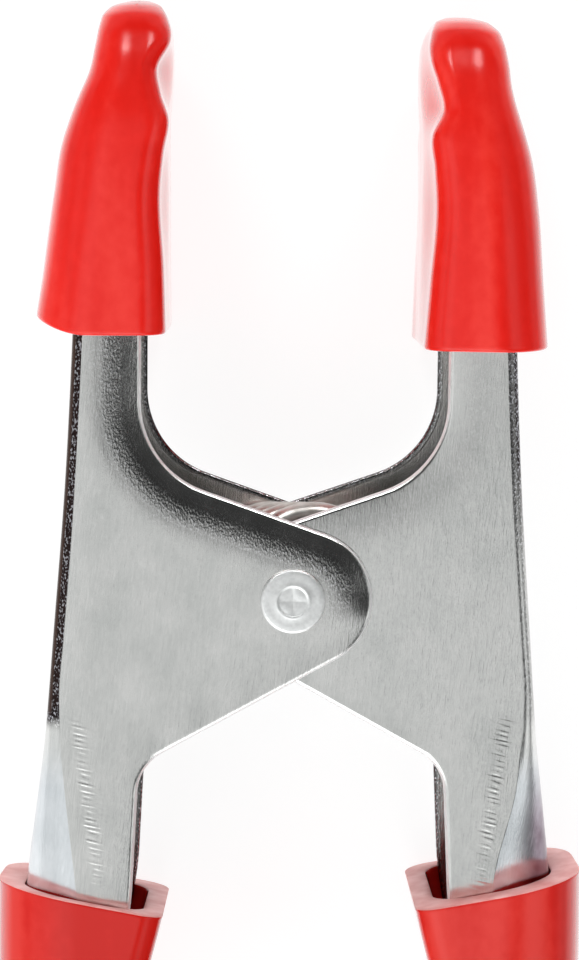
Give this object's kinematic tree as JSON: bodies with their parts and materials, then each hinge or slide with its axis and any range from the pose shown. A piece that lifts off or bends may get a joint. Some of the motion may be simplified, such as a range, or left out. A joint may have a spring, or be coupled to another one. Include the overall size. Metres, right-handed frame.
{
  "type": "spring clamp",
  "caption": "Plated steel spring clamp with red vinyl jaw tips and handle grips: two channel levers cross at a rivet and a torsion spring closes the jaws.",
  "frame": {"origin": "on the pivot axis, at the surface that the clamp lies on", "axes": "+Z along the pivot axis, +Y from the pivot towards the jaws, +X across the jaws from the left jaw to the right jaw"},
  "size_m": [0.0589, 0.117, 0.0248],
  "materials": {
    "plated_steel": "bright zinc plate over a fine rolled grain",
    "rivet_steel": "bright plate, smooth",
    "spring_steel": "drawn music wire, semi-bright",
    "red_vinyl": "soft vinyl, satin gloss"
  },
  "bodies": {
    "left_side": {"left_lever": "plated_steel", "left_jaw_tip": "red_vinyl", "left_handle_grip": "red_vinyl", "pivot_rivet": "rivet_steel", "torsion_spring": "spring_steel"},
    "right_side": {"right_lever": "plated_steel", "right_jaw_tip": "red_vinyl", "right_handle_grip": "red_vinyl"}
  },
  "joints": [
    {"name": "jaw_pivot", "type": "hinge", "parent": "left_side", "child": "right_side", "pos_m": [0, 0, 0.0124], "axis": [0, 0, 1], "range_deg": [0, 25.5], "stiffness_Nm_per_rad": 1.4, "springref_deg": 60.16, "deforming": ["torsion_spring"]}
  ]
}
